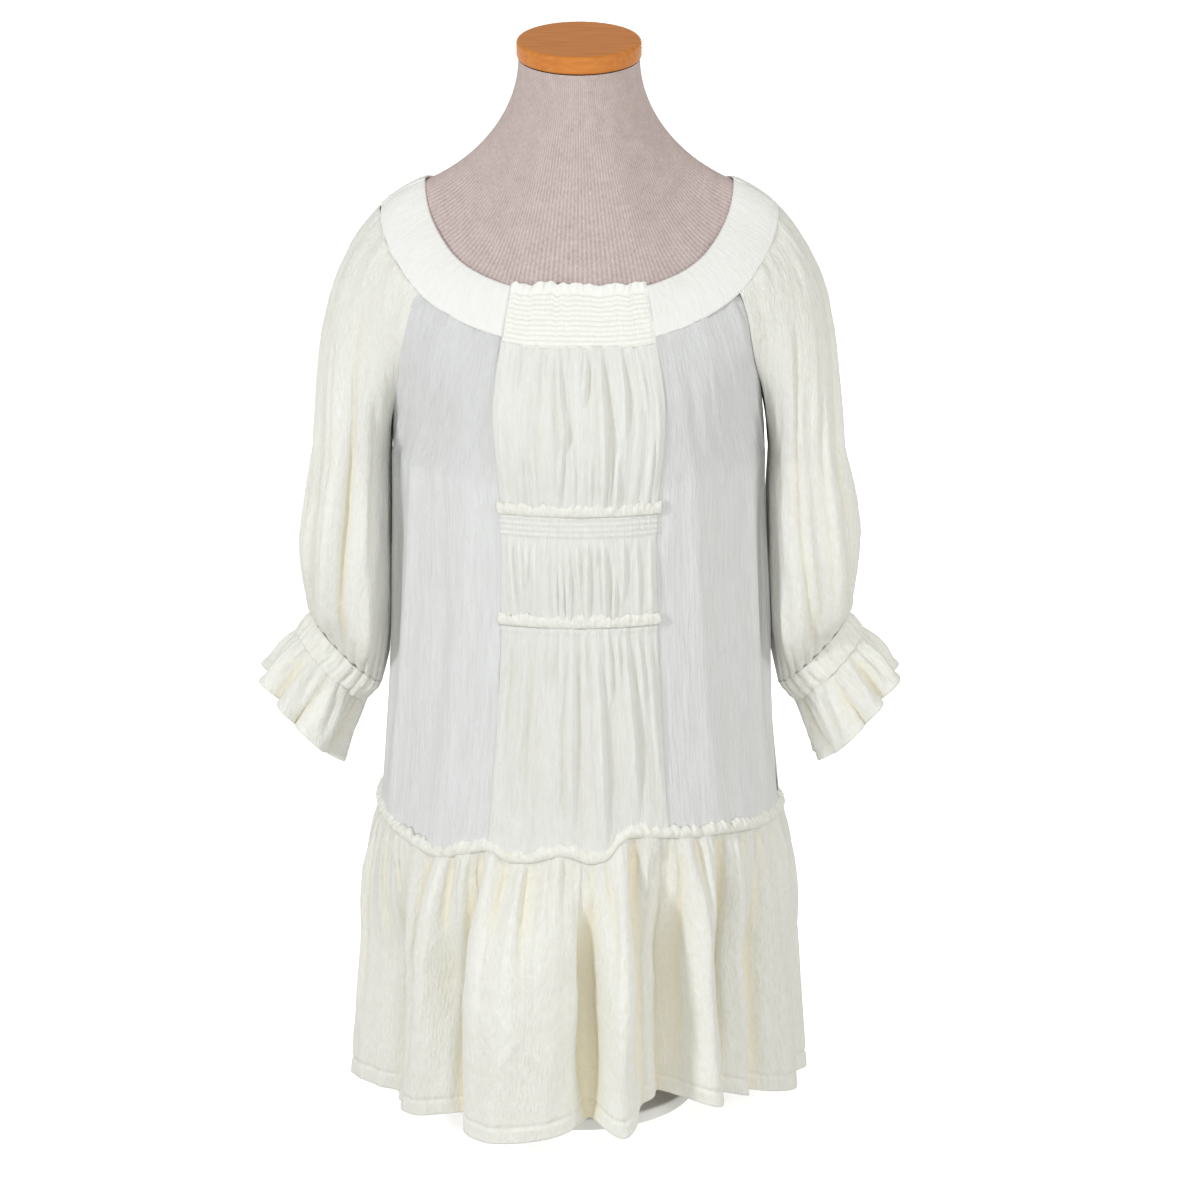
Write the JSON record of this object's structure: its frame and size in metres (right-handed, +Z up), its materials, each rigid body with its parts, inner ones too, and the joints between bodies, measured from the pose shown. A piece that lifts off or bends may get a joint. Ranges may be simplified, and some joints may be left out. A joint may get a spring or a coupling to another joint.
{
  "type": "smocked mini dress on a limbless dress form",
  "caption": "Loose mini dress with a banded scoop neck, smocked insert, raglan sleeves with ruffled cuffs and a gathered tier, on a limbless table-top dress form.",
  "frame": {"origin": "centre of the stand base's underside, on the table", "axes": "+Z up, the dress's front faces -Y, the wearer's left is +X"},
  "size_m": [0.562, 0.4008, 0.9597],
  "materials": {
    "gauze": "matt crinkled cotton gauze",
    "neckband": "smooth matt cotton",
    "form_knit": "fine ribbed knit cover",
    "cap_wood": "satin varnish",
    "stand_metal": "satin white paint"
  },
  "bodies": {
    "root": {"neck_smocking": "gauze", "centre_upper": "gauze", "header_upper": "gauze", "centre_mid": "gauze", "header_lower": "gauze", "centre_lower": "gauze", "front_left": "gauze", "front_right": "gauze", "back": "gauze", "sleeve_left": "gauze", "sleeve_right": "gauze", "cuff_band_left": "gauze", "cuff_band_right": "gauze", "cuff_ruffle_left": "gauze", "cuff_ruffle_right": "gauze", "tier_front": "gauze", "tier_back": "gauze", "tier_header_front": "gauze", "tier_header_back": "gauze", "neckband_left": "neckband", "neckband_right": "neckband", "neckband_back": "neckband", "form_torso": "form_knit", "form_neck_cap": "cap_wood", "stand_base": "stand_metal", "stand_post": "stand_metal"}
  },
  "joints": []
}
